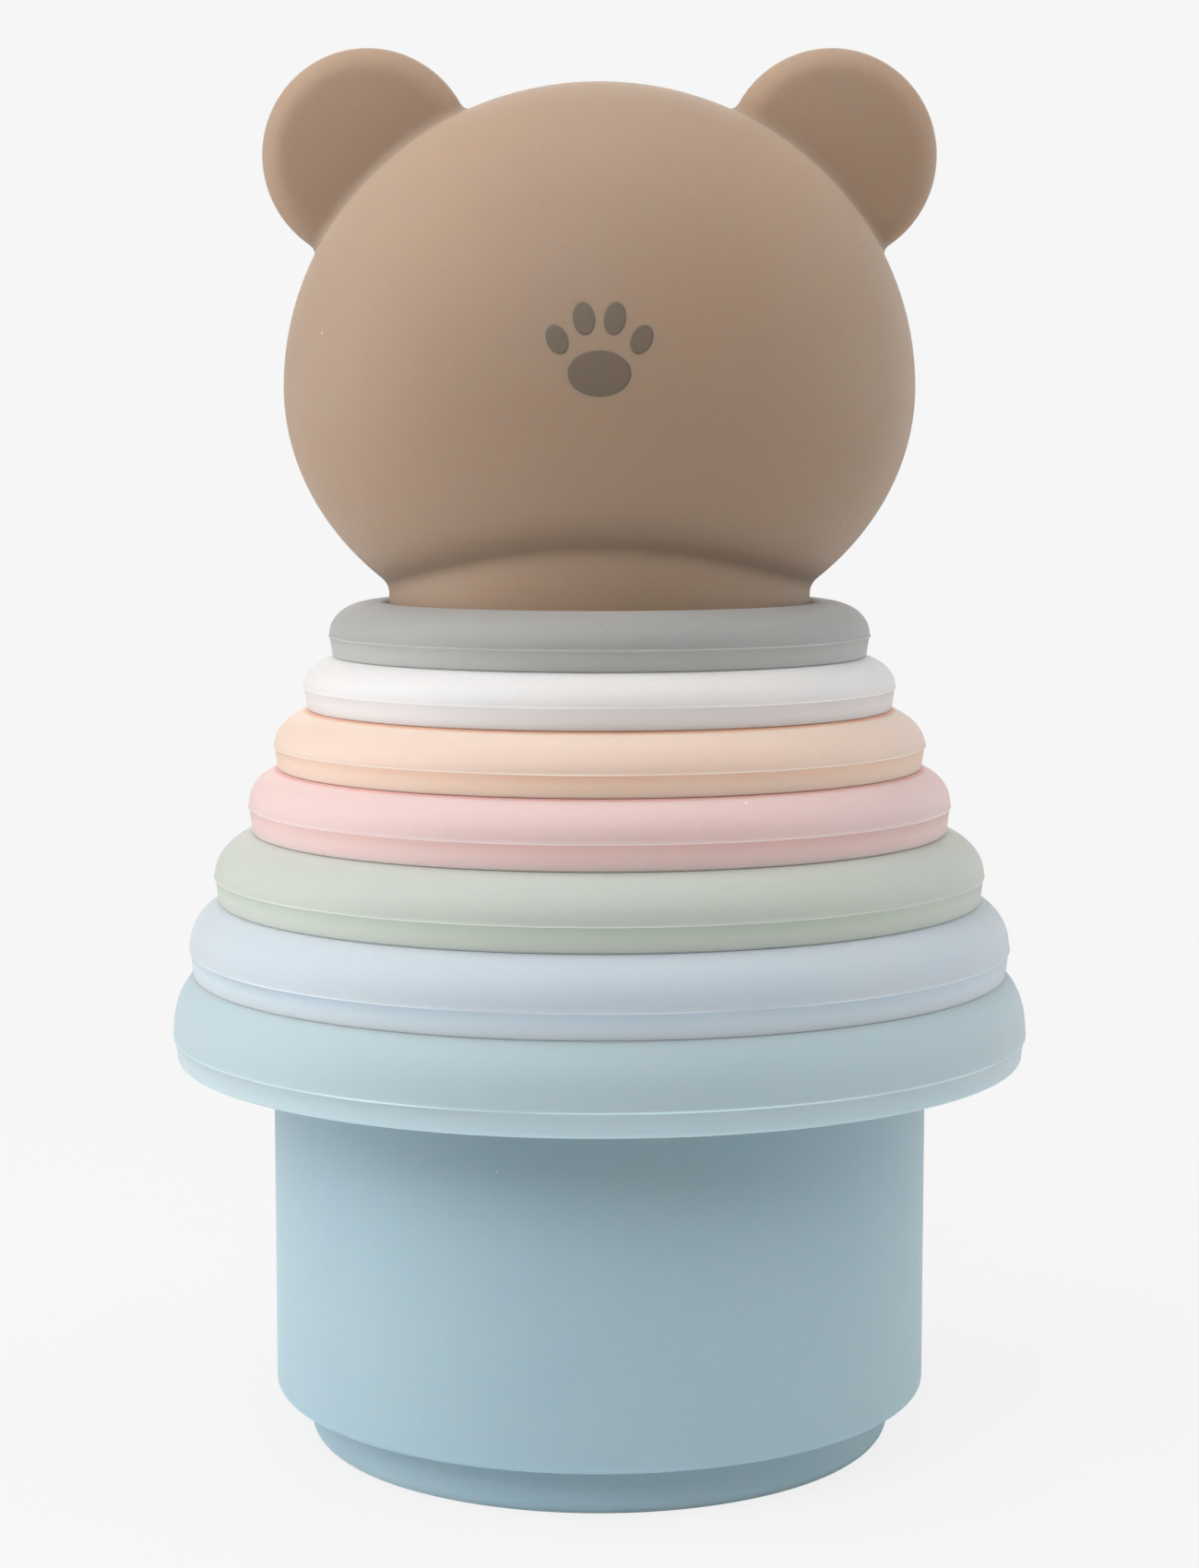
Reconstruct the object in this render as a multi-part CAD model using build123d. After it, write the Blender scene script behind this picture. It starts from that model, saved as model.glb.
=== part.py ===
from build123d import *
from dataclasses import dataclass
import math
import os

# Stacking tower: seven silicone cups of falling size nest on one axis, and a hollow bear head stands in the
# smallest. Millimetres. The origin is the centre of the largest cup's foot, +Z is up, and the bear faces +Y.

QUARTER = 90  # degrees

# Cups, shared by all sizes
BODY_RADIUS = 38.4  # outside of the largest cup's body
WALL = 1.6
NESTING_CLEARANCE = 0.35  # between a body and the bore it drops into
FOOT_INSET_RATIO = 0.107  # foot inset over body radius
FOOT_HEIGHT_RATIO = 0.105  # foot height over cup height
FLOOR = 1.8
RIM_THICKNESS = 2.0
LIP_DRAFT = 0.3  # how far the lip leans in below the parting line
PARTING_BEAD = 0.12  # height and half-width of the mould parting line
MOUTH_EDGE = 0.8  # rounding between the rim's crest and the bore
SEAT_GAP = 0.15  # between a resting lip and the dome under it
SEAT_STEPS = 4000
FOOT_EDGE = 2.0
STEP_EDGE = 0.9
LEDGE_EDGE = 0.6
FLOOR_EDGE = 1.2

# Bear head
HEAD_HALF_WIDTH = 36.5
HEAD_HALF_DEPTH = 30.5
HEAD_UPPER = 34.9
HEAD_LOWER = 30.3
HEAD_TOP = 157.9
HEAD_WALL = 2.8
HEAD_CENTRE = HEAD_TOP - HEAD_UPPER
NECK_RADIUS = 24.5
NECK_WALL = 2.2
NECK_TOP = 106.0  # buried in the head
NECK_FILLET = 1.2
NECK_ROUND = 0.9  # on both edges of the neck's foot
EAR_RADIUS = 12.2
EAR_THICKNESS = 9.0
EAR_EDGE = 3.2
EAR_OUT = 26.6
EAR_HEIGHT = 149.6
EAR_DISH_RADIUS = 7.4
EAR_DISH_DEPTH = 1.2
EAR_DISH_EDGE = 0.8
MUZZLE = (13.5, 8.5, 10.0)  # half-sizes along X, Y and Z
MUZZLE_CENTRE = (0.0, 24.5, 113.5)
NOSE = (4.8, 2.8, 3.3)
NOSE_CENTRE = (0.0, 32.2, 116.8)
EYE = (2.3, 1.7, 2.7)
EYE_CENTRE = (12.5, 28.2, 126.5)


@dataclass
class Cup:
    """One cup. Its own heights run from the underside of its foot."""

    name: str
    rim_radius: float
    height: float
    dome_height: float  # parting line to crest
    lip_height: float  # parting line down to the lip's lower edge
    body_radius: float = 0.0
    foot_z: float = 0.0  # height of the foot in the tower

    @property
    def bore_radius(self):
        return self.body_radius - WALL

    @property
    def crest_radius(self):
        return self.bore_radius + MOUTH_EDGE

    @property
    def dome_width(self):
        return self.rim_radius - self.crest_radius

    @property
    def parting_z(self):
        return self.height - self.dome_height

    @property
    def lip_z(self):
        """Height of the centre of the lip's round."""
        return self.parting_z - self.lip_height + RIM_THICKNESS / 2

    @property
    def lip_radius(self):
        """Radius at the centre of the lip's round."""
        return self.rim_radius - LIP_DRAFT - RIM_THICKNESS / 2

    @property
    def foot_radius(self):
        return self.body_radius * (1 - FOOT_INSET_RATIO)

    @property
    def foot_height(self):
        return self.height * FOOT_HEIGHT_RATIO

    @property
    def ledge_z(self):
        """Height of the inner ledge over the foot."""
        return self.foot_height + WALL


CUPS = [
    Cup("teal_cup", rim_radius=50.0, height=58.2, dome_height=9.9, lip_height=2.8),
    Cup("light_blue_cup", rim_radius=48.0, height=54.0, dome_height=7.2, lip_height=2.8),
    Cup("sage_cup", rim_radius=45.0, height=50.0, dome_height=6.1, lip_height=2.8),
    Cup("pink_cup", rim_radius=41.0, height=46.0, dome_height=5.2, lip_height=2.7),
    Cup("peach_cup", rim_radius=38.0, height=42.0, dome_height=4.9, lip_height=2.4),
    Cup("white_cup", rim_radius=34.5, height=38.0, dome_height=3.9, lip_height=2.1),
    Cup("grey_cup", rim_radius=31.5, height=34.0, dome_height=4.0, lip_height=2.1),
]


def seat_height(lower, upper):
    """How far the round of the upper lip rests above the lower cup's parting line, measured at its centre."""
    reach = RIM_THICKNESS / 2 + SEAT_GAP
    highest = 0.0
    for step in range(SEAT_STEPS):
        angle = math.pi / 2 * step / SEAT_STEPS
        across = upper.lip_radius - lower.crest_radius - lower.dome_width * math.cos(angle)
        if abs(across) < reach:
            up = lower.dome_height * math.sin(angle) + math.sqrt(reach**2 - across**2)
            highest = max(highest, up)
    return highest


def stack(cups):
    """Give each cup the body that fits the bore below it, and the height at which it rests."""
    cups[0].body_radius = BODY_RADIUS
    for lower, upper in zip(cups, cups[1:]):
        upper.body_radius = lower.bore_radius - NESTING_CLEARANCE
        lip_in_tower = lower.foot_z + lower.parting_z + seat_height(lower, upper)
        upper.foot_z = lip_in_tower - upper.lip_z


def outside_wall(cup, top):
    """Foot, step and body, from the axis up to the underside of the rim."""
    return FilletPolyline(
        (0, 0),
        (cup.foot_radius, 0),
        (cup.foot_radius, cup.foot_height),
        (cup.body_radius, cup.foot_height),
        (cup.body_radius, top),
        radius=[FOOT_EDGE, LEDGE_EDGE, STEP_EDGE],
    )


def inside_wall(cup):
    """Bore, ledge and floor, from the mouth down to the axis."""
    foot_bore = cup.foot_radius - WALL
    return FilletPolyline(
        (cup.bore_radius, cup.height - MOUTH_EDGE),
        (cup.bore_radius, cup.ledge_z),
        (foot_bore, cup.ledge_z),
        (foot_bore, FLOOR),
        (0, FLOOR),
        radius=[LEDGE_EDGE, LEDGE_EDGE, FLOOR_EDGE],
    )


def rim(cup):
    """Curled rim: underside, round lip, drafted band, parting bead, dome and the rounded mouth."""
    under_width = cup.dome_width - RIM_THICKNESS
    under_height = cup.dome_height - RIM_THICKNESS
    start = math.degrees(math.acos((cup.body_radius - cup.crest_radius) / under_width))
    centre = (cup.crest_radius, cup.parting_z)
    underside = EllipticalCenterArc(centre, under_width, under_height, arc_size=start)
    half = RIM_THICKNESS / 2
    lip_inner = (cup.lip_radius - half, cup.lip_z)
    lip_outer = (cup.lip_radius + half, cup.lip_z)
    lip_low = (cup.lip_radius, cup.lip_z - half)
    band_top = (cup.rim_radius - PARTING_BEAD / 2, cup.parting_z - PARTING_BEAD)
    bead = (cup.rim_radius + PARTING_BEAD, cup.parting_z)
    dome = EllipticalCenterArc(centre, cup.dome_width, cup.dome_height, arc_size=QUARTER)
    crest = (cup.crest_radius, cup.height)
    mouth = (cup.bore_radius, cup.height - MOUTH_EDGE)
    return [
        underside,
        Line(underside @ 0, lip_inner),
        ThreePointArc(lip_inner, lip_low, lip_outer),
        Line(lip_outer, band_top),
        Line(band_top, bead),
        Line(bead, dome @ 0),
        dome,
        RadiusArc(crest, mouth, -MOUTH_EDGE),
    ]


def build_cup(cup):
    edges = rim(cup)
    underside_top = edges[0] @ 1
    profile = Curve() + outside_wall(cup, underside_top.Y) + edges + inside_wall(cup)
    profile += Line((0, FLOOR), (0, 0))
    section = Plane.XZ * make_face(profile)
    solid = revolve(section, Axis.Z)
    return Pos(0, 0, cup.foot_z) * solid


def egg(shrink=0.0):
    """Head form: a round egg flattened front to back. shrink gives the cavity inside the wall."""
    half_width = HEAD_HALF_WIDTH - shrink
    upper = HEAD_UPPER - shrink
    lower = HEAD_LOWER - shrink
    profile = Curve() + EllipticalCenterArc((0, 0), half_width, upper, arc_size=QUARTER)
    profile += EllipticalCenterArc((0, 0), half_width, lower, arc_size=-QUARTER)
    profile += Line((0, -lower), (0, upper))
    solid = revolve(Plane.XZ * make_face(profile), Axis.Z)
    flatten = (HEAD_HALF_DEPTH - shrink) / half_width
    return Pos(0, 0, HEAD_CENTRE) * scale(solid, by=(1, flatten, 1))


def ellipsoid(half_sizes, centre):
    return Pos(*centre) * scale(Sphere(1), by=half_sizes)


def build_ear(side):
    """Thick round disc with soft edges, dished on the face side."""
    disc = Cylinder(EAR_RADIUS, EAR_THICKNESS)
    disc = fillet(disc.edges().filter_by(GeomType.CIRCLE), EAR_EDGE)
    dish = Cylinder(EAR_DISH_RADIUS, 2 * EAR_DISH_DEPTH)
    dish = fillet(dish.edges().filter_by(GeomType.CIRCLE), EAR_DISH_EDGE)
    disc -= Pos(0, 0, -EAR_THICKNESS / 2) * dish
    return Pos(side * EAR_OUT, 0, EAR_HEIGHT) * Rot(X=90) * disc


def build_head(neck_bottom):
    """Hollow head: egg, neck, ears and muzzle in one wall, open at the foot of the neck."""
    neck_height = NECK_TOP - neck_bottom
    neck = Pos(0, 0, neck_bottom + neck_height / 2) * Cylinder(NECK_RADIUS, neck_height)
    form = egg()
    head = form + neck
    head = fillet(new_edges(form, neck, combined=head), NECK_FILLET)
    for side in (-1, 1):
        head += build_ear(side)
    head += ellipsoid(MUZZLE, MUZZLE_CENTRE)
    bore_height = HEAD_CENTRE - neck_bottom
    bore = Pos(0, 0, neck_bottom + bore_height / 2) * Cylinder(NECK_RADIUS - NECK_WALL, bore_height)
    head -= egg(HEAD_WALL)
    head -= bore
    foot_edges = head.edges().filter_by_position(Axis.Z, neck_bottom - NECK_ROUND, neck_bottom + NECK_ROUND)
    return fillet(foot_edges, NECK_ROUND)


def build_face():
    """Nose and eyes, each a soft pebble set into the head."""
    x, y, z = EYE_CENTRE
    return {
        "nose": ellipsoid(NOSE, NOSE_CENTRE),
        "left_eye": ellipsoid(EYE, (-x, y, z)),
        "right_eye": ellipsoid(EYE, (x, y, z)),
    }


def main():
    stack(CUPS)
    parts = {cup.name: build_cup(cup) for cup in CUPS}
    smallest = CUPS[-1]
    neck_bottom = smallest.foot_z + smallest.ledge_z + SEAT_GAP
    face = build_face()
    head = build_head(neck_bottom)
    for inlay in face.values():
        head -= inlay
    parts["bear_head"] = head
    parts.update(face)
    os.makedirs("parts", exist_ok=True)
    for name, solid in parts.items():
        export_step(solid, f"parts/{name}.step")
    for cup in CUPS:
        print(f"{cup.name}: foot {cup.foot_z:.2f}, parting {cup.foot_z + cup.parting_z:.2f}")
    print(f"neck bottom {neck_bottom:.2f}")


main()
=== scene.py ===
import math
from collections import namedtuple

import bpy
import numpy as np
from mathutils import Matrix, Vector


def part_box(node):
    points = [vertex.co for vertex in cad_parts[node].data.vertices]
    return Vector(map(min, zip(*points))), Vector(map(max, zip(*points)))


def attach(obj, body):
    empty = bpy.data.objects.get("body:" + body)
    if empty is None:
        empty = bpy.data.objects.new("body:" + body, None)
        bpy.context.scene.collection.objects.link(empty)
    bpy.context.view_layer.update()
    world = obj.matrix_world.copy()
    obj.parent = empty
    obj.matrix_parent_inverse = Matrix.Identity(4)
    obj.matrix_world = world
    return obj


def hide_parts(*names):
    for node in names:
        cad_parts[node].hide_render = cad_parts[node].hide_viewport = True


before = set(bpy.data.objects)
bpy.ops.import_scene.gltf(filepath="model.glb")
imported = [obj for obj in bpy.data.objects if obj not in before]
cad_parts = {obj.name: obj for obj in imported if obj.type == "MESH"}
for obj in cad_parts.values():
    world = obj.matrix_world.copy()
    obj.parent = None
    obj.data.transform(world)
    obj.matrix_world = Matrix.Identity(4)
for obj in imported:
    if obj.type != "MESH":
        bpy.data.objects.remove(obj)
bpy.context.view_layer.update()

# The finished look of a silicone stacking tower. Shapes are worked out in millimetres, in the frame's own axes
# (+Z up, the bear faces +Y), and turned into metres when a mesh is made.

MM = 0.001
TURN = 2 * math.pi

# Cups, shared by all sizes
BODY_RADIUS = 38.4
WALL = 1.6
NESTING_CLEARANCE = 0.35
FOOT_INSET_RATIO = 0.107
FOOT_HEIGHT_RATIO = 0.105
FLOOR = 1.8
RIM_THICKNESS = 2.0
LIP_DRAFT = 0.4
PARTING_BEAD = 0.12
BEAD_OUT = 0.8  # share of the bead that stands out past the dome
BEAD_HALF = 0.4
BEAD_WANDER_OUT = 0.035
BEAD_WANDER_UP = 0.05
DOME_START = 1.2  # degrees, just above the bead
LIP_SQUARE = 0.45  # power of sine and cosine: 1 is round, 0 is square
LIP_GAP = 0.05  # between a lip and the dome it lies on
LIP_CORNER = 0.22
MOUTH_EDGE = 0.8
FOOT_EDGE = 2.0
STEP_EDGE = 0.9
LEDGE_EDGE = 0.6
FLOOR_EDGE = 1.2
LATHE_STEPS = 192
PROFILE_SPACING = 2.0

# Largest first. Heights are above and below the parting line. Fullness is the power of the dome's curve, 2 for an
# ellipse. The next column is how much lighter the lip is painted than the dome: painted light for the light from
# below on its downward band. The one after is a rim tint: a painted highlight that makes the rim paler and greyer
# than the body, as the top light does.
Cup = namedtuple("Cup", "dome_height lip_height fullness pale crown colour")
CUPS = {
    "teal_cup": Cup(9.9, 2.8, 2.5, 1.10, (1.20, 1.07, 1.015), (0.380, 0.524, 0.590)),
    "light_blue_cup": Cup(7.2, 2.8, 2.4, 1.12, None, (0.547, 0.614, 0.667)),
    "sage_cup": Cup(6.1, 2.8, 2.2, 1.12, None, (0.527, 0.565, 0.510)),
    "pink_cup": Cup(5.2, 2.7, 2.4, 1.12, None, (0.755, 0.564, 0.547)),
    "peach_cup": Cup(4.9, 2.4, 2.0, 1.12, None, (0.798, 0.614, 0.516)),
    "white_cup": Cup(3.9, 2.1, 2.2, 1.12, None, (0.765, 0.754, 0.748)),
    "grey_cup": Cup(4.0, 2.1, 2.2, 1.34, None, (0.373, 0.375, 0.367)),
}

# Bear head
HEAD_HALF_WIDTH = 36.5
HEAD_HALF_DEPTH = 30.5
HEAD_UPPER = 34.9
HEAD_LOWER = 30.3
HEAD_TOP = 157.9
HEAD_WALL = 2.8
HEAD_CENTRE = HEAD_TOP - HEAD_UPPER
NECK_RADIUS = 24.5
NECK_WALL = 2.2
NECK_TOP = 112.0
NECK_BLEND = 0.9
NECK_ROUND = 0.9
EAR_RADIUS = 12.2
EAR_HALF_THICKNESS = 4.5
EAR_EDGE = 3.0
EAR_OUT = 26.6
EAR_HEIGHT = 149.6
EAR_BLEND = 1.2
EAR_CROWN = 0.010  # how fast the flat sides fall away from the middle
EAR_DISH_RADIUS = 7.4
EAR_DISH_DEPTH = 1.2
EAR_DISH_EDGE = 0.8
EAR_DISH_BLEND = 1.6
MUZZLE = np.array((13.5, 8.5, 10.0))
MUZZLE_CENTRE = np.array((0.0, 24.5, 113.5))
MUZZLE_BLEND = 5.0
HOLLOW_BLEND = 1.2
GRID = 0.5
RELAX_ROUNDS = 5
RELAX_SHARE = 0.6
INLAY_SQUARE = 0.85

BEAR_BROWN = (0.421, 0.293, 0.202)
INLAY_BROWN = (0.060, 0.038, 0.026)
PRINT_BROWN = (0.205, 0.155, 0.110)


# ---------------------------------------------------------------- meshes


def make_mesh(name, points, faces):
    """Object from points in millimetres, shaded smooth."""
    mesh = bpy.data.meshes.new(name)
    mesh.from_pydata((np.asarray(points) * MM).tolist(), [], faces)
    mesh.validate()
    mesh.shade_smooth()
    piece = bpy.data.objects.new(name, mesh)
    bpy.context.scene.collection.objects.link(piece)
    return piece


def place(piece, body, slot, material, node=None):
    """Give a piece its material and its body, and let it stand for a CAD node. The slot argument is not used."""
    piece.data.materials.append(material)
    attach(piece, body)
    if node:
        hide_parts(node)
    return piece


def line(start, end):
    """Points from start up to, but not including, end."""
    start = np.array(start, float)
    end = np.array(end, float)
    count = max(1, math.ceil(np.linalg.norm(end - start) / PROFILE_SPACING))
    return [start + (end - start) * i / count for i in range(count)]


def arc(centre, width, height, start, end, count):
    """Points along an elliptical arc, angles in degrees, both ends included."""
    angles = np.radians(np.linspace(start, end, count))
    return [np.array((centre[0] + width * math.cos(a), centre[1] + height * math.sin(a))) for a in angles]


def rounded(points, radii, count=7):
    """A polyline with each inner corner turned into an arc. The last point is left out."""
    corners = [np.array(p, float) for p in points]
    path = []
    here = corners[0]
    for corner, after, radius in zip(corners[1:], corners[2:], radii):
        back = (here - corner) / np.linalg.norm(here - corner)
        ahead = (after - corner) / np.linalg.norm(after - corner)
        enter = corner + back * radius
        leave = corner + ahead * radius
        centre = enter + leave - corner
        path += line(here, enter)
        for angle in np.linspace(0, math.pi / 2, count)[:-1]:
            path.append(centre + (enter - centre) * math.cos(angle) + (leave - centre) * math.sin(angle))
        here = leave
    return path + line(here, corners[-1])


def dome_curve(cup, body_radius, rim_radius, top):
    """Function that gives the height of a cup's dome at a radius."""
    crest_radius = body_radius - WALL + MOUTH_EDGE

    def height(radius):
        share = min(1.0, (radius - crest_radius) / (rim_radius - crest_radius))
        return top - cup.dome_height + cup.dome_height * (1 - share**cup.fullness) ** (1 / cup.fullness)

    return height


def lip_foot(lip_radius, lip_z, band_top, seat):
    """From the inner side of the lip, under it and up to the parting line: squared, or sloped to lie on a seat."""
    half = RIM_THICKNESS / 2
    foot = arc((lip_radius, lip_z), half, half, 180, 270, 7)
    if seat:
        foot = [np.array((x, max(z, seat(x) + LIP_GAP))) for x, z in foot]
        corner = (lip_radius + half, seat(lip_radius + half) + LIP_GAP)
        return foot + rounded([foot[-1], corner, band_top], [LIP_CORNER])[1:]
    for angle in np.radians(np.linspace(9, 81, 9)):
        square = np.array((math.sin(angle) ** LIP_SQUARE, -(math.cos(angle) ** LIP_SQUARE)))
        foot.append(np.array((lip_radius, lip_z)) + half * square)
    return foot + line((lip_radius + half, lip_z), band_top)


def cup_profile(cup, body_radius, rim_radius, height, seat):
    """Half section of a cup from its axis under the floor, out over the rim and back in to the axis."""
    foot_radius = body_radius * (1 - FOOT_INSET_RATIO)
    foot_height = height * FOOT_HEIGHT_RATIO
    bore = body_radius - WALL
    foot_bore = foot_radius - WALL
    crest_radius = bore + MOUTH_EDGE
    dome_size = np.array((rim_radius - crest_radius, cup.dome_height))
    parting = height - cup.dome_height
    half = RIM_THICKNESS / 2
    lip_z = parting - cup.lip_height + half
    lip_radius = rim_radius - LIP_DRAFT - half
    centre = (crest_radius, parting)
    under_width, under_height = dome_size - RIM_THICKNESS
    start = math.degrees(math.acos((body_radius - crest_radius) / under_width))
    underside = arc(centre, under_width, under_height, start, 0, 24)
    outside = rounded(
        [(0, 0), (foot_radius, 0), (foot_radius, foot_height), (body_radius, foot_height), underside[0]],
        [FOOT_EDGE, LEDGE_EDGE, STEP_EDGE],
    )
    band_top = np.array((rim_radius - PARTING_BEAD / 2, parting - PARTING_BEAD))
    lip = lip_foot(lip_radius, lip_z, band_top, seat)
    bead_radius = rim_radius + PARTING_BEAD * BEAD_OUT
    bead = [
        band_top,
        np.array((bead_radius, parting - PARTING_BEAD * BEAD_HALF)),
        np.array((bead_radius, parting + PARTING_BEAD * BEAD_HALF)),
    ]
    dome = []
    for angle in np.radians(np.linspace(DOME_START, 90, 41)):
        share = np.array((max(0.0, math.cos(angle)), math.sin(angle))) ** (2 / cup.fullness)
        dome.append(np.array(centre) + dome_size * share)
    mouth = arc((crest_radius, height - MOUTH_EDGE), MOUTH_EDGE, MOUTH_EDGE, 90, 180, 7)
    inside = rounded(
        [mouth[-1], (bore, foot_height + WALL), (foot_bore, foot_height + WALL), (foot_bore, FLOOR), (0, FLOOR)],
        [LEDGE_EDGE, LEDGE_EDGE, FLOOR_EDGE],
    )
    path = outside + underside + lip + bead + dome + mouth[1:-1] + inside
    bead_index = len(outside + underside + lip) + 1
    return np.array(path + [np.array((0, FLOOR))]), bead_index


def lathe(profile, seed, bead_index):
    """Turn a profile about Z. The parting line wanders and thins a little, as mould flash does."""
    angles = np.linspace(0, TURN, LATHE_STEPS, endpoint=False)
    ring = profile[1:-1]
    radius = np.repeat(ring[:, :1], LATHE_STEPS, axis=1)
    height = np.repeat(ring[:, 1:], LATHE_STEPS, axis=1)
    random = np.random.default_rng(seed)
    wander = np.zeros(LATHE_STEPS)
    for lobes in range(2, 14):
        wander += random.normal() / lobes * np.cos(lobes * angles + random.uniform(0, TURN))
    wander /= np.abs(wander).max()
    for row in (bead_index - 1, bead_index):
        radius[row] += BEAD_WANDER_OUT * wander
        height[row] += BEAD_WANDER_UP * np.roll(wander, LATHE_STEPS // 3)
    points = np.stack((radius * np.cos(angles), radius * np.sin(angles), height), axis=-1).reshape(-1, 3)
    count = len(ring)
    faces = []
    for i in range(count - 1):
        for j in range(LATHE_STEPS):
            k = (j + 1) % LATHE_STEPS
            below, above = i * LATHE_STEPS, (i + 1) * LATHE_STEPS
            faces.append((below + j, below + k, above + k, above + j))
    low, high = len(points), len(points) + 1
    points = np.vstack((points, (0, 0, profile[0, 1]), (0, 0, profile[-1, 1])))
    last = (count - 1) * LATHE_STEPS
    for j in range(LATHE_STEPS):
        k = (j + 1) % LATHE_STEPS
        faces.append((low, k, j))
        faces.append((high, last + j, last + k))
    return points, faces


# ---------------------------------------------------------------- the head as one smooth blended form


def ellipsoid(p, half_sizes):
    """Distance to an ellipsoid about the origin, exact enough near its surface."""
    near = np.linalg.norm(p / half_sizes, axis=-1)
    steep = np.linalg.norm(p / half_sizes**2, axis=-1)
    return near * (near - 1) / np.maximum(steep, 1e-9)


def egg(p, shrink):
    """The head's form: an ellipsoid whose upper and lower halves differ."""
    q = p - (0, 0, HEAD_CENTRE)
    upright = np.where(q[..., 2] > 0, HEAD_UPPER, HEAD_LOWER) - shrink
    sizes = np.stack(
        (np.full_like(upright, HEAD_HALF_WIDTH - shrink), np.full_like(upright, HEAD_HALF_DEPTH - shrink), upright),
        axis=-1,
    )
    return ellipsoid(q, sizes)


def disc(across, along, radius, half_thickness, edge):
    """Distance to a round disc with soft edges, from the distances across and along its axis."""
    out = across - radius + edge
    up = np.abs(along) - half_thickness + edge
    return np.hypot(np.maximum(out, 0), np.maximum(up, 0)) + np.minimum(np.maximum(out, up), 0) - edge


def merge(a, b, blend):
    """Union with a soft valley where the two forms meet."""
    near = np.maximum(blend - np.abs(a - b), 0) / blend
    return np.minimum(a, b) - near * near * blend / 4


def carve(a, b, blend):
    """Take form b out of form a, with soft edges."""
    return -merge(-a, b, blend)


def head_distance(p, neck_bottom):
    """Signed distance to the bear head, negative inside the silicone."""
    x, y, z = p[..., 0], p[..., 1], p[..., 2]
    from_axis = np.hypot(x, y)
    middle = (neck_bottom + NECK_TOP) / 2
    half = (NECK_TOP - neck_bottom) / 2
    solid = egg(p, 0)
    neck = disc(from_axis, z - middle, NECK_RADIUS, half, NECK_ROUND)
    solid = merge(solid, neck, NECK_BLEND)
    out = np.hypot(np.abs(x) - EAR_OUT, z - EAR_HEIGHT)
    ear = disc(out, np.abs(y) + EAR_CROWN * out * out, EAR_RADIUS, EAR_HALF_THICKNESS, EAR_EDGE)
    dish = disc(out, y - EAR_HALF_THICKNESS, EAR_DISH_RADIUS, EAR_DISH_DEPTH, EAR_DISH_EDGE)
    ear = carve(ear, dish, EAR_DISH_BLEND)
    solid = merge(solid, ear, EAR_BLEND)
    solid = merge(solid, ellipsoid(p - MUZZLE_CENTRE, MUZZLE), MUZZLE_BLEND)
    bore = disc(from_axis, z - neck_bottom, NECK_RADIUS - NECK_WALL, HEAD_CENTRE - neck_bottom, NECK_ROUND)
    hollow = merge(egg(p, HEAD_WALL), bore, NECK_BLEND)
    return carve(solid, hollow, HOLLOW_BLEND)


def gradient(distance, points):
    """Unit normals of a distance field, by central differences."""
    step = 0.02
    slopes = []
    for axis in range(3):
        offset = np.zeros(3)
        offset[axis] = step
        slopes.append(distance(points + offset) - distance(points - offset))
    slopes = np.stack(slopes, axis=-1)
    return slopes / np.maximum(np.linalg.norm(slopes, axis=-1, keepdims=True), 1e-12)


def surface(distance, low, high, cell):
    """Quad mesh of the zero level of a distance field: one point in each crossed cell of a grid."""
    axes = [np.arange(a, b + cell, cell) for a, b in zip(low, high)]
    grid = np.stack(np.meshgrid(*axes, indexing="ij"), axis=-1)
    inside = distance(grid) < 0
    counts = np.array(inside.shape)
    corners = np.zeros(counts - 1, int)
    for dx in (0, 1):
        for dy in (0, 1):
            for dz in (0, 1):
                corners += inside[dx : counts[0] - 1 + dx, dy : counts[1] - 1 + dy, dz : counts[2] - 1 + dz]
    crossed = (corners > 0) & (corners < 8)
    index = np.full(crossed.shape, -1)
    index[crossed] = np.arange(crossed.sum())
    points = np.argwhere(crossed) * cell + [a[0] for a in axes] + cell / 2
    faces = []
    for axis in range(3):
        ahead = [slice(None)] * 3
        behind = [slice(None)] * 3
        ahead[axis] = slice(1, None)
        behind[axis] = slice(None, -1)
        flips = inside[tuple(behind)] != inside[tuple(ahead)]
        enters = inside[tuple(ahead)]
        u, v = (axis + 1) % 3, (axis + 2) % 3
        found = np.argwhere(flips)
        found = found[(found[:, u] > 0) & (found[:, v] > 0)]
        quad = []
        for du, dv in ((0, 0), (-1, 0), (-1, -1), (0, -1)):
            cells = found.copy()
            cells[:, u] += du
            cells[:, v] += dv
            quad.append(index[tuple(cells.T)])
        quad = np.stack(quad, axis=1)
        turn = enters[tuple(found.T)]
        quad[turn] = quad[turn][:, ::-1]
        faces.append(quad)
    return points, np.vstack(faces)


def relax(distance, points, faces, rounds):
    """Slide points towards the middle of their neighbours, then back onto the surface."""
    edges = np.vstack([faces[:, (i, (i + 1) % 4)] for i in range(4)])
    for _ in range(rounds):
        total = np.zeros_like(points)
        count = np.zeros(len(points))
        for a, b in (edges.T, edges.T[::-1]):
            np.add.at(total, a, points[b])
            np.add.at(count, a, 1)
        points = points * (1 - RELAX_SHARE) + RELAX_SHARE * total / np.maximum(count, 1)[:, None]
        for _ in range(2):
            points = points - distance(points)[:, None] * gradient(distance, points)
    return points


# ---------------------------------------------------------------- pieces


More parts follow.
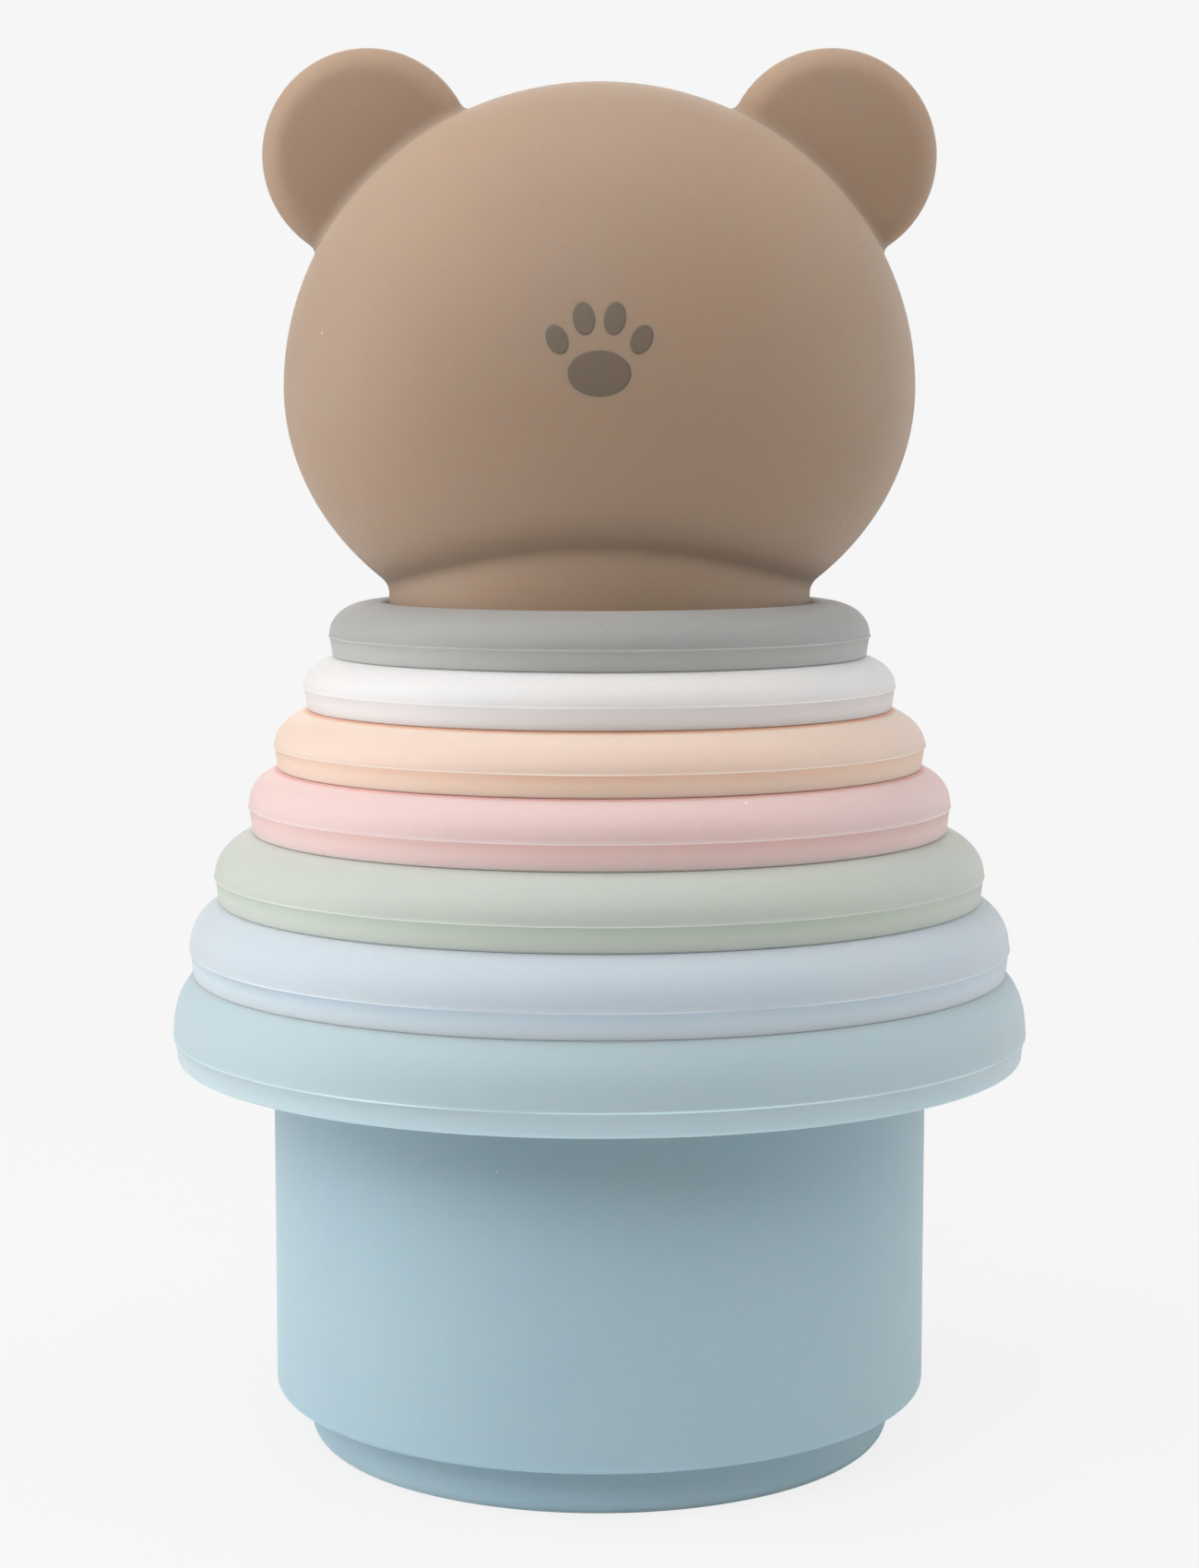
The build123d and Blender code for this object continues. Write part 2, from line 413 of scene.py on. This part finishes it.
def build_cups(materials):
    """Every cup, turned again from its CAD box with its parting line, each lip lying on the cup below."""
    body_radius = BODY_RADIUS
    below = None
    for seed, (name, cup) in enumerate(CUPS.items()):
        low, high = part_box(name)
        base = low.z / MM
        rim_radius = high.x / MM - PARTING_BEAD
        seat = below and (lambda radius, below=below, base=base: below(radius) - base)
        profile, bead_index = cup_profile(cup, body_radius, rim_radius, (high.z - low.z) / MM, seat)
        points, faces = lathe(profile, seed, bead_index)
        points[:, 2] += base
        place(make_mesh(f"{name}_silicone", points, faces), name, name, materials[name], name)
        below = dome_curve(cup, body_radius, rim_radius, high.z / MM)
        body_radius -= WALL + NESTING_CLEARANCE


def build_head(material):
    low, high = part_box("bear_head")
    neck_bottom = low.z / MM
    reach = 2.0

    def distance(p):
        return head_distance(p, neck_bottom)

    corner_low = (low.x / MM - reach, low.y / MM - reach, neck_bottom - reach)
    corner_high = (high.x / MM + reach, high.y / MM + reach, high.z / MM + reach)
    points, faces = surface(distance, corner_low, corner_high, GRID)
    points = relax(distance, points, faces, RELAX_ROUNDS)
    head = make_mesh("bear_head_silicone", points, faces.tolist())
    return place(head, "bear_head", "bear_head", material, "bear_head")


def pebble(name, centre, half_sizes, taper, material):
    """Soft inlay: an ellipsoid squared off a little and narrower below."""
    rings, steps = 40, 64
    points = []
    for i in range(1, rings):
        up = math.cos(math.pi * i / rings)
        out = math.sin(math.pi * i / rings) ** INLAY_SQUARE
        width = 1 + taper * up
        for j in range(steps):
            angle = TURN * j / steps
            points.append((out * math.cos(angle) * width, out * math.sin(angle), up))
    count = len(points)
    points += [(0, 0, 1), (0, 0, -1)]
    faces = []
    for i in range(rings - 2):
        for j in range(steps):
            k = (j + 1) % steps
            faces.append((i * steps + k, i * steps + j, (i + 1) * steps + j, (i + 1) * steps + k))
    last = (rings - 2) * steps
    for j in range(steps):
        k = (j + 1) % steps
        faces.append((count, j, k))
        faces.append((count + 1, last + k, last + j))
    points = np.array(points) * half_sizes + centre
    return place(make_mesh(f"{name}_inlay", points, faces), "bear_head", "face_inlay", material, name)


def build_face(material):
    for name, taper in (("nose", 0.22), ("left_eye", 0.0), ("right_eye", 0.0)):
        low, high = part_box(name)
        centre = np.array((low + high) / 2) / MM
        half_sizes = np.array((high - low) / 2) / MM
        half_sizes[0] /= 1 + taper
        pebble(name, centre, half_sizes, taper, material)


def back_of_head(x, z):
    """Y of the egg's back surface."""
    up = HEAD_UPPER if z > HEAD_CENTRE else HEAD_LOWER
    inside = 1 - (x / HEAD_HALF_WIDTH) ** 2 - ((z - HEAD_CENTRE) / up) ** 2
    return -HEAD_HALF_DEPTH * math.sqrt(inside)


PRINT_PADS = (
    # centre across, centre up, half-width, half-height, lean in degrees
    (0.0, -2.0, 3.6, 2.6, 0),
    (-4.5, 1.6, 1.2, 1.75, 24),
    (-1.65, 3.8, 1.25, 1.9, 8),
    (1.65, 3.8, 1.25, 1.9, -8),
    (4.5, 1.6, 1.2, 1.75, -24),
)
PRINT_HEIGHT = 126.0
PRINT_LIFT = 0.035


def build_print(material):
    """Small paw mark printed on the back of the head."""
    rings, steps = 8, 56
    points, faces = [], []
    for across, up, width, tall, lean in PRINT_PADS:
        turn = math.radians(lean)
        first = len(points)
        for i in range(rings + 1):
            share = i / rings
            for j in range(steps if i else 1):
                angle = TURN * j / steps
                u = width * share * math.cos(angle)
                v = tall * share * math.sin(angle)
                x = across + u * math.cos(turn) - v * math.sin(turn)
                z = PRINT_HEIGHT + up + u * math.sin(turn) + v * math.cos(turn)
                lift = PRINT_LIFT if i < rings else -PRINT_LIFT
                points.append((x, back_of_head(x, z) - lift, z))
        for j in range(steps):
            k = (j + 1) % steps
            faces.append((first, first + 1 + j, first + 1 + k))
            for i in range(rings - 1):
                a = first + 1 + i * steps
                faces.append((a + j, a + steps + j, a + steps + k, a + k))
    return place(make_mesh("paw_print", points, faces), "bear_head", "face_inlay", material)


# ---------------------------------------------------------------- materials


class Nodes:
    """Short way to wire a material."""

    def __init__(self, name):
        self.material = bpy.data.materials.new(name)
        self.material.use_nodes = True
        self.tree = self.material.node_tree
        self.shader = self.tree.nodes["Principled BSDF"]
        self.place = self.add("ShaderNodeTexCoord").outputs["Object"]

    def add(self, kind, **settings):
        node = self.tree.nodes.new(kind)
        for key, value in settings.items():
            setattr(node, key, value)
        return node

    def link(self, source, target):
        self.tree.links.new(source, target)

    def stretch(self, scale):
        node = self.add("ShaderNodeMapping")
        node.inputs["Scale"].default_value = scale
        self.link(self.place, node.inputs["Vector"])
        return node.outputs["Vector"]

    def noise(self, scale, detail=2.0, stretch=None, roughness=0.5):
        node = self.add("ShaderNodeTexNoise")
        node.inputs["Scale"].default_value = scale
        node.inputs["Detail"].default_value = detail
        node.inputs["Roughness"].default_value = roughness
        self.link(self.stretch(stretch) if stretch else self.place, node.inputs["Vector"])
        return node.outputs["Fac"]

    def ramp(self, value, low, high, to_low=0.0, to_high=1.0):
        node = self.add("ShaderNodeMapRange")
        for key, number in zip(("From Min", "From Max", "To Min", "To Max"), (low, high, to_low, to_high)):
            node.inputs[key].default_value = number
        self.link(value, node.inputs["Value"])
        return node.outputs["Result"]

    def math(self, operation, a, b):
        node = self.add("ShaderNodeMath", operation=operation)
        for socket, value in zip(node.inputs, (a, b)):
            if isinstance(value, (int, float)):
                socket.default_value = value
            else:
                self.link(value, socket)
        return node.outputs["Value"]

    def mix(self, factor, a, b):
        node = self.add("ShaderNodeMix", data_type="RGBA")
        self.link(factor, node.inputs["Factor"])
        for socket, value in ((node.inputs[6], a), (node.inputs[7], b)):
            if isinstance(value, tuple):
                socket.default_value = (*value, 1)
            else:
                self.link(value, socket)
        return node.outputs[2]

    def times(self, *values):
        product = values[0]
        for value in values[1:]:
            product = self.math("MULTIPLY", product, value)
        return product

    def from_axis(self):
        """Height, and distance from the tower's axis."""
        parts = self.add("ShaderNodeSeparateXYZ")
        self.link(self.place, parts.inputs["Vector"])
        flat = self.add("ShaderNodeCombineXYZ")
        for axis in "XY":
            self.link(parts.outputs[axis], flat.inputs[axis])
        reach = self.add("ShaderNodeVectorMath", operation="LENGTH")
        self.link(flat.outputs["Vector"], reach.inputs[0])
        return parts.outputs["Z"], reach.outputs["Value"]

    def specks(self, scale, size, share):
        """Mask of small scattered dots: size is a share of a cell, share is how many cells hold one."""
        cells = self.add("ShaderNodeTexVoronoi")
        cells.inputs["Scale"].default_value = scale
        self.link(self.place, cells.inputs["Vector"])
        pick = self.add("ShaderNodeSeparateColor")
        self.link(cells.outputs["Color"], pick.inputs["Color"])
        chosen = self.ramp(pick.outputs["Red"], share, share - 0.001)
        radius = self.math("MULTIPLY", pick.outputs["Green"], size)
        dot = self.math("LESS_THAN", cells.outputs["Distance"], radius)
        return self.math("MULTIPLY", dot, chosen)


SUBSURFACE = 0.65
SUBSURFACE_DEPTH = 0.003
IOR = 1.41
SHEEN = 0.20
SHEEN_ROUGHNESS = 0.45
BUMP_STRENGTH = 0.22
BUMP_DEPTH = 0.00006
LINT = (0.93, 0.94, 0.95)
# Tints for painted shade in hollows and beside the neck; the darker one also colours the dark dust specks.
PAINTED_SHADE_TINT = (0.52, 0.50, 0.49)
SHADE_AND_DARK_SPECK_TINT = (0.45, 0.43, 0.42)
# How far the painted hollow shade looks for nearby surfaces.
CREASE_DEPTH = 0.003
# How fully the painted rim highlight covers the rim.
RIM_HIGHLIGHT_COVER = 0.85
# How fully the lip's painted light covers it, and how much richer in colour it is.
LIP_COVER = 0.85
LIP_RICHNESS = 0.4
# Painted crevice shade at the contact ring: how saturated it is, and how strong on warm colours.
CREVICE_SHADE_SATURATION = 2.5
CREVICE_SHADE_STRENGTH = 2.7


def even(amount):
    return (amount, amount, amount)


def tint(colour, factor):
    return tuple(min(1.0, c * f) for c, f in zip(colour, factor))


def rim_marks(n, body, cup, parting, radius, contact):
    """Painted light at a cup's rim: on the cup with a rim tint, the rim painted paler and greyer as a highlight; a
    painted highlight along the hair line where the halves of the mould met; the lip below it painted paler for
    light from below;
    and painted crevice shade, darker and more saturated, in a ring at the contact radius, where the next cup's lip
    lies on a warm coloured dome."""
    colour = cup.colour
    # Rim colour: on the cup with a rim tint, painted paler and greyer as a highlight from the top light.
    shade = tint(colour, cup.crown or even(1))
    up, reach = n.from_axis()
    above = n.math("SUBTRACT", up, parting * MM)
    edge = n.ramp(reach, (radius - 0.9) * MM, (radius - 0.6) * MM)
    # Painted highlight: the rim is painted paler and greyer than the body below it.
    if cup.crown:
        body = n.mix(n.ramp(above, -6 * MM, -4 * MM, 0.0, RIM_HIGHLIGHT_COVER), body, shade)
    # Painted light: the lip band below the parting line is painted paler, standing in for light from below on its
    # downward face.
    lip = n.times(n.ramp(above, 0.0, -0.15 * MM), edge)
    richness = 0.0 if cup.crown else LIP_RICHNESS
    rich = tuple(cup.pale * (c / (sum(shade) / 3)) ** richness for c in shade)
    body = n.mix(n.times(lip, LIP_COVER), body, tint(shade, rich))
    # Painted crevice shade: a darker, more saturated ring where the next cup's lip lies on a warm coloured dome,
    # for the shade and the light bounced through the silicone in that gap.
    crevice_shade = tuple(max(colour) * (c / max(colour)) ** CREVICE_SHADE_SATURATION for c in colour)
    ring = n.math("ABSOLUTE", n.math("SUBTRACT", reach, contact * MM), 0.0)
    ring = n.times(n.ramp(ring, 0.46 * MM, 0.2 * MM), n.ramp(above, 0.6 * MM, 1.0 * MM))
    body = n.mix(n.times(ring, CREVICE_SHADE_STRENGTH * max(0.0, 1 - colour[2] / colour[0])), body, crevice_shade)
    # Painted highlight along the parting bead, wider and brighter on the cup with the rim tint.
    width, bright = (1.8, 1.6) if cup.crown else (1.0, 1.4)
    line = n.ramp(n.math("ABSOLUTE", above, 0.0), 0.085 * width * MM, 0.05 * width * MM)
    strength = n.ramp(n.noise(55, 2.0), 0.35, 0.6, 0.25, 0.85)
    return n.mix(n.times(line, edge, strength), body, tint(shade, even(bright)))


def painted_crease_shade(n, body, colour):
    """Painted shade in narrow hollows and on the underside of the head, strongest right beside the neck."""
    hollow = n.add("ShaderNodeAmbientOcclusion", samples=8, only_local=True)
    hollow.inputs["Distance"].default_value = CREASE_DEPTH
    # Painted shade where other surfaces lie close by.
    body = n.mix(n.ramp(hollow.outputs["AO"], 0.9, 0.5, 0.0, 0.45), body, tint(colour, SHADE_AND_DARK_SPECK_TINT))
    up, reach = n.from_axis()
    beside = n.ramp(reach, (NECK_RADIUS + 0.05) * MM, (NECK_RADIUS + 0.45) * MM)
    fading = n.ramp(reach, (NECK_RADIUS + 3.6) * MM, (NECK_RADIUS + 0.4) * MM)
    low = n.ramp(up, (NECK_TOP + 3) * MM, (NECK_TOP + 1) * MM)
    # Painted shade in the crease beside the neck, fading out across the head's underside.
    return n.mix(n.times(beside, fading, fading, low, 0.75), body, tint(colour, PAINTED_SHADE_TINT))


def silicone(name, colour, dust=1.0, roughness=0.56, crease_shaded=False, marks=None):
    """Matte moulded silicone: faint mottling and flow streaks, fine grain, lint, paler edges from wear, and painted
    shade in concave places.
    """
    n = Nodes(name)
    mottle = n.ramp(n.noise(38, 4.0), 0.3, 0.7)
    body = n.mix(mottle, tint(colour, (0.965, 0.985, 1.01)), tint(colour, (1.035, 1.01, 0.985)))
    streaks = n.ramp(n.noise(1, 3.0, stretch=(420, 420, 26)), 0.35, 0.75, 0.0, 0.10)
    body = n.mix(streaks, body, tint(colour, even(1.12)))
    blooms = n.ramp(n.noise(95, 3.0, roughness=0.6), 0.56, 0.8, 0.0, 0.12)
    body = n.mix(blooms, body, tint(colour, (0.90, 0.90, 0.91)))
    wear_and_shade_pointiness = n.add("ShaderNodeNewGeometry").outputs["Pointiness"]
    body = n.mix(n.ramp(wear_and_shade_pointiness, 0.52, 0.62, 0.0, 0.25), body, tint(colour, even(1.18)))
    # Painted shade in concave places.
    body = n.mix(n.ramp(wear_and_shade_pointiness, 0.485, 0.43, 0.0, 0.55), body, tint(colour, PAINTED_SHADE_TINT))
    # Painted shade in narrow hollows, used on the head.
    if crease_shaded:
        body = painted_crease_shade(n, body, colour)
    grainy = n.ramp(n.noise(2300, 2.0, roughness=0.7), 0.3, 0.7, 0.0, 0.30)
    body = n.mix(grainy, body, tint(colour, even(0.90)))
    if marks:
        body = marks(n, body)
    body = n.mix(n.times(n.specks(260, 0.055, 0.16), 0.75 * dust), body, LINT)
    body = n.mix(n.times(n.specks(330, 0.05, 0.14), 0.35 * dust), body, tint(colour, SHADE_AND_DARK_SPECK_TINT))
    n.link(body, n.shader.inputs["Base Color"])
    rough = n.ramp(n.noise(140, 3.0), 0.3, 0.7, roughness - 0.05, roughness + 0.06)
    n.link(rough, n.shader.inputs["Roughness"])
    grain = n.noise(2600, 2.0, roughness=0.6)
    skin = n.noise(480, 3.0)
    bump = n.add("ShaderNodeBump")
    bump.inputs["Strength"].default_value = BUMP_STRENGTH
    bump.inputs["Distance"].default_value = BUMP_DEPTH
    n.link(n.math("ADD", n.times(grain, 0.35), n.times(skin, 0.65)), bump.inputs["Height"])
    n.link(bump.outputs["Normal"], n.shader.inputs["Normal"])
    n.shader.inputs["IOR"].default_value = IOR
    n.shader.inputs["Subsurface Weight"].default_value = SUBSURFACE
    n.shader.inputs["Subsurface Radius"].default_value = tuple((c / max(colour)) ** 2 for c in colour)
    n.shader.inputs["Subsurface Scale"].default_value = SUBSURFACE_DEPTH
    n.shader.inputs["Sheen Weight"].default_value = SHEEN
    n.shader.inputs["Sheen Roughness"].default_value = SHEEN_ROUGHNESS
    return n.material


def cup_materials():
    made = {}
    rims = [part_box(name)[1].x / MM for name in CUPS] + [NECK_RADIUS]
    for (name, cup), radius, next_radius in zip(CUPS.items(), rims, rims[1:]):
        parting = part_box(name)[1].z / MM - cup.dome_height
        contact = next_radius - LIP_DRAFT

        def marks(n, body, cup=cup, place=(parting, radius, contact)):
            return rim_marks(n, body, cup, *place)

        made[name] = silicone(name, cup.colour, marks=marks)
    return made


# ---------------------------------------------------------------- stage, light and camera

FLOOR_SIZE = 2.4
FLOOR_ALBEDO = 0.93
FLOOR_SHADOW = 0.10
FLOOR_FADE = (0.12, 0.42)
BACKGROUND = 0.922
SURROUND_LIGHT = 0.11
LIGHT_AIM = (0.0, 0.0, 0.08)
SOFTBOXES = (
    # name, place (x, y, z), size, power
    ("left", -1.0, 0.0, 0.12, 0.9, 4.6),
    ("left_top", -0.72, 0.0, 0.80, 0.8, 3.0),
    ("left_camera_top", -0.50, -0.65, 0.70, 0.6, 3.4),
    ("right", 1.0, 0.0, 0.12, 0.9, 3.0),
    ("right_back", 0.75, 0.70, 0.15, 0.7, 1.2),
    ("right_top", 0.72, 0.0, 0.80, 0.8, 1.8),
    ("top", 0.0, 0.0, 1.10, 0.9, 3.3),
    ("camera_top", 0.0, -0.72, 0.80, 0.7, 2.7),
    ("face_fill", 0.0, 1.10, 0.45, 0.9, 3.0),
)
CAMERA_PLACE = (0.0, -360.0, 115.3)
CAMERA_DOWN = 6.078  # degrees
CAMERA_LENS = 70.7


def area_light(name, place, aim, size, power):
    data = bpy.data.lights.new(name, "AREA")
    data.shape = "DISK"
    data.size = size
    data.energy = power
    light = bpy.data.objects.new(name, data)
    light.location = place
    light.rotation_euler = (Vector(aim) - Vector(place)).to_track_quat("-Z", "Y").to_euler()
    bpy.context.scene.collection.objects.link(light)


def build_stage():
    """Pale floor around the tower that melts into the surround: the camera sees only a trace of its shadow."""
    half = FLOOR_SIZE / 2
    mesh = bpy.data.meshes.new("floor")
    mesh.from_pydata([(-half, -half, 0), (half, -half, 0), (half, half, 0), (-half, half, 0)], [], [(0, 1, 2, 3)])
    floor = bpy.data.objects.new("floor", mesh)
    bpy.context.scene.collection.objects.link(floor)
    n = Nodes("pale_floor")
    n.shader.inputs["Base Color"].default_value = (*even(FLOOR_ALBEDO), 1)
    n.shader.inputs["Roughness"].default_value = 0.9
    n.shader.inputs["Specular IOR Level"].default_value = 0.1
    glow = n.add("ShaderNodeEmission")
    glow.inputs["Color"].default_value = (*even(BACKGROUND), 1)
    seen = n.times(n.add("ShaderNodeLightPath").outputs["Is Camera Ray"], 1 - FLOOR_SHADOW)
    plain = n.add("ShaderNodeMixShader")
    n.link(seen, plain.inputs["Fac"])
    n.link(n.shader.outputs["BSDF"], plain.inputs[1])
    n.link(glow.outputs["Emission"], plain.inputs[2])
    away = n.add("ShaderNodeVectorMath", operation="LENGTH")
    n.link(n.place, away.inputs[0])
    fade = n.ramp(away.outputs["Value"], *FLOOR_FADE)
    edge = n.add("ShaderNodeMixShader")
    n.link(fade, edge.inputs["Fac"])
    n.link(plain.outputs["Shader"], edge.inputs[1])
    n.link(n.add("ShaderNodeBsdfTransparent").outputs["BSDF"], edge.inputs[2])
    n.link(edge.outputs["Shader"], n.tree.nodes["Material Output"].inputs["Surface"])
    mesh.materials.append(n.material)


def build_world():
    """Even pale surround. The camera sees it brighter than the light it casts."""
    world = bpy.data.worlds.new("studio")
    world.use_nodes = True
    bpy.context.scene.world = world
    tree = world.node_tree
    seen = tree.nodes["Background"]
    seen.inputs["Color"].default_value = (*even(BACKGROUND), 1)
    cast = tree.nodes.new("ShaderNodeBackground")
    cast.inputs["Strength"].default_value = SURROUND_LIGHT
    path = tree.nodes.new("ShaderNodeLightPath")
    choose = tree.nodes.new("ShaderNodeMixShader")
    tree.links.new(path.outputs["Is Camera Ray"], choose.inputs["Fac"])
    tree.links.new(cast.outputs["Background"], choose.inputs[1])
    tree.links.new(seen.outputs["Background"], choose.inputs[2])
    tree.links.new(choose.outputs["Shader"], tree.nodes["World Output"].inputs["Surface"])


def build_lights():
    """A light tent: strong soft light from the left, less from the right, and broad light from above."""
    for name, x, y, z, size, power in SOFTBOXES:
        area_light(name, (x, y, z), LIGHT_AIM, size, power)


def build_camera():
    data = bpy.data.cameras.new("camera")
    data.lens = CAMERA_LENS
    camera = bpy.data.objects.new("camera", data)
    camera.location = Vector(CAMERA_PLACE) * MM
    camera.rotation_euler = (math.radians(90 - CAMERA_DOWN), 0, 0)
    bpy.context.scene.collection.objects.link(camera)
    bpy.context.scene.camera = camera


build_cups(cup_materials())
build_head(silicone("bear_head", BEAR_BROWN, dust=0.3, crease_shaded=True))
build_face(silicone("face_inlay", INLAY_BROWN, dust=0.3, roughness=0.38))
build_print(silicone("paw_print", PRINT_BROWN, dust=0.0))
build_stage()
build_world()
build_lights()
build_camera()
bpy.context.scene.view_settings.view_transform = "Standard"
